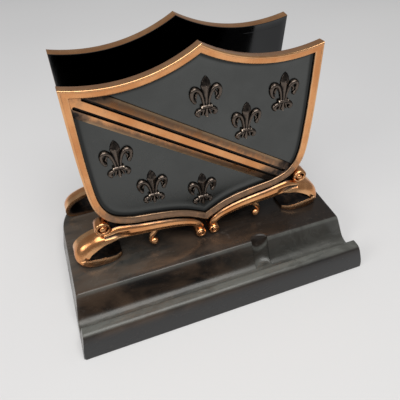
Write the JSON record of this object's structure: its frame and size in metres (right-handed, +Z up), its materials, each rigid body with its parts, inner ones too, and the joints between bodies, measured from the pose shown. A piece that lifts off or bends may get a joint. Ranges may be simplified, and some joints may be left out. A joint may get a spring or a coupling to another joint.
{
  "type": "desk letter holder",
  "caption": "Desk letter holder: a moulded base with a pen groove carries two cast heraldic shields on scroll feet, with a slot for letters between them.",
  "frame": {"origin": "on the table under the centre of the base", "axes": "+Z up, +X along the pen groove to the right as seen from the front, +Y from the pen groove to the rear"},
  "size_m": [0.1648, 0.1067, 0.1294],
  "materials": {
    "bakelite": "satin brown-black phenolic moulding with faint flow marks, rubs and dust",
    "felt": "thin glued felt",
    "steel": "plain zinc-plated screw",
    "copper": "lacquered copper plate, dark in the recesses and bright on the crests",
    "dark_field": "satin charcoal patina on cast metal",
    "dark_bronze": "oxidised bronze relief with rubbed crests"
  },
  "bodies": {
    "root": {"base_block": "bakelite", "base_felt": "felt", "screw_front_left": "steel", "screw_front_right": "steel", "screw_rear_left": "steel", "screw_rear_right": "steel", "front_shield_plate": "dark_field", "front_shield_rim": "copper", "front_bend_band": "copper", "front_fleur_1": "dark_bronze", "front_fleur_2": "dark_bronze", "front_fleur_3": "dark_bronze", "front_fleur_4": "dark_bronze", "front_fleur_5": "dark_bronze", "front_fleur_6": "dark_bronze", "front_scroll_moulding_right": "copper", "front_scroll_moulding_left": "copper", "front_scroll_foot_right": "copper", "front_scroll_foot_left": "copper", "front_corner_volute_right": "copper", "front_corner_volute_left": "copper", "front_berry_right": "copper", "front_berry_left": "copper", "rear_shield_plate": "dark_field", "rear_shield_rim": "copper", "rear_bend_band": "copper", "rear_fleur_1": "dark_bronze", "rear_fleur_2": "dark_bronze", "rear_fleur_3": "dark_bronze", "rear_fleur_4": "dark_bronze", "rear_fleur_5": "dark_bronze", "rear_fleur_6": "dark_bronze", "rear_scroll_moulding_right": "copper", "rear_scroll_moulding_left": "copper", "rear_scroll_foot_right": "copper", "rear_scroll_foot_left": "copper", "rear_corner_volute_right": "copper", "rear_corner_volute_left": "copper", "rear_berry_right": "copper", "rear_berry_left": "copper"}
  },
  "joints": []
}
